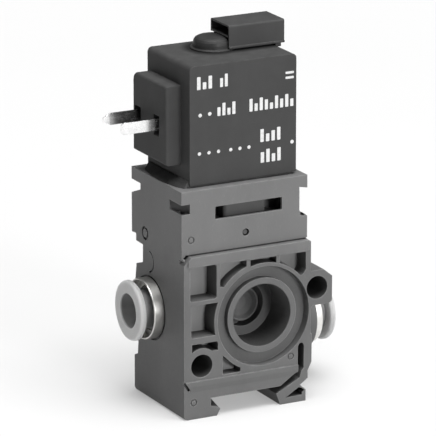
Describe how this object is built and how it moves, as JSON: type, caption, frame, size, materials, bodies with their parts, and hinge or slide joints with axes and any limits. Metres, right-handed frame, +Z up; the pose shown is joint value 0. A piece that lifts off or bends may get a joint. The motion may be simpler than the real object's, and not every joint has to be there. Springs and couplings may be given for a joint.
{
  "type": "directional control valve",
  "caption": "Pilot-operated 3/2-way pneumatic valve: rail-mounted plastic body with a ring-sealed supply port, push-in tube fittings at the sides and a plug-on solenoid coil on top.",
  "frame": {"origin": "centre of the bounding box's bottom face, on the plane of the rail feet", "axes": "+Z up through the solenoid, +X from the plug side to the right-hand fitting, -Y out of the supply port's front face"},
  "size_m": [0.056, 0.0274, 0.0905],
  "materials": {
    "body_plastic": "satin moulded glass-filled plastic, dark grey",
    "inner_plastic": "moulded plastic, mid grey",
    "coil_plastic": "moulded epoxy, near black, fine texture",
    "clip_plastic": "moulded plastic, near black",
    "cap_plastic": "moulded plastic, black",
    "release_plastic": "moulded plastic, light grey",
    "rubber": "matt black nitrile",
    "brass": "turned",
    "nickel_brass": "nickel-plated, turned",
    "steel": "ground",
    "tinned_metal": "bright tin plate",
    "copper_winding": "enamelled copper wire",
    "aluminium": "turned"
  },
  "bodies": {
    "valve": {"valve_body": "body_plastic", "pilot_gasket": "rubber", "pilot_base": "inner_plastic", "pilot_nozzle": "brass", "tube_o_ring": "rubber", "armature_tube": "steel", "tube_nut": "brass", "fixed_core": "steel", "armature_spring": "steel", "coil_housing": "coil_plastic", "coil_bobbin": "inner_plastic", "coil_winding": "copper_winding", "magnet_yoke": "steel", "blade_front": "tinned_metal", "blade_rear": "tinned_metal", "coil_gasket": "rubber", "tube_cap": "cap_plastic", "valve_cage": "inner_plastic", "cage_o_rings": "rubber", "return_spring": "steel", "fitting_collar_left": "nickel_brass", "fitting_collar_right": "nickel_brass", "fitting_o_ring_left": "rubber", "fitting_o_ring_right": "rubber", "tube_seal_left": "rubber", "tube_seal_right": "rubber", "grab_ring_left": "steel", "grab_ring_right": "steel"},
    "armature": {"armature": "steel", "armature_seal": "rubber"},
    "spool": {"valve_spool": "aluminium", "spool_seals": "rubber", "piston": "inner_plastic", "piston_seal": "rubber"},
    "override": {"override_pin": "inner_plastic", "override_seal": "rubber", "override_spring": "steel"},
    "release_left": {"release_ring_left": "release_plastic"},
    "release_right": {"release_ring_right": "release_plastic"},
    "clip": {"coil_clip": "clip_plastic"}
  },
  "joints": [
    {"name": "armature_lift", "type": "slide", "parent": "valve", "child": "armature", "axis": [0, 0, 1], "range_m": [0, 0.0009], "stiffness_N_per_m": 400, "springref_m": -0.002, "deforming": ["armature_spring"]},
    {"name": "spool_shift", "type": "slide", "parent": "valve", "child": "spool", "axis": [0, 0, -1], "range_m": [0, 0.0025], "stiffness_N_per_m": 500, "springref_m": -0.002, "deforming": ["return_spring"]},
    {"name": "override_press", "type": "slide", "parent": "valve", "child": "override", "axis": [0, 1, 0], "range_m": [0, 0.0012], "stiffness_N_per_m": 400, "springref_m": -0.0004},
    {"name": "release_left_press", "type": "slide", "parent": "valve", "child": "release_left", "axis": [1, 0, 0], "range_m": [0, 0.0012], "stiffness_N_per_m": 600, "springref_m": -0.0003},
    {"name": "release_right_press", "type": "slide", "parent": "valve", "child": "release_right", "axis": [-1, 0, 0], "range_m": [0, 0.0012], "stiffness_N_per_m": 600, "springref_m": -0.0003},
    {"name": "clip_slide", "type": "slide", "parent": "valve", "child": "clip", "axis": [1, 0, 0], "range_m": [0, 0.0055]}
  ]
}
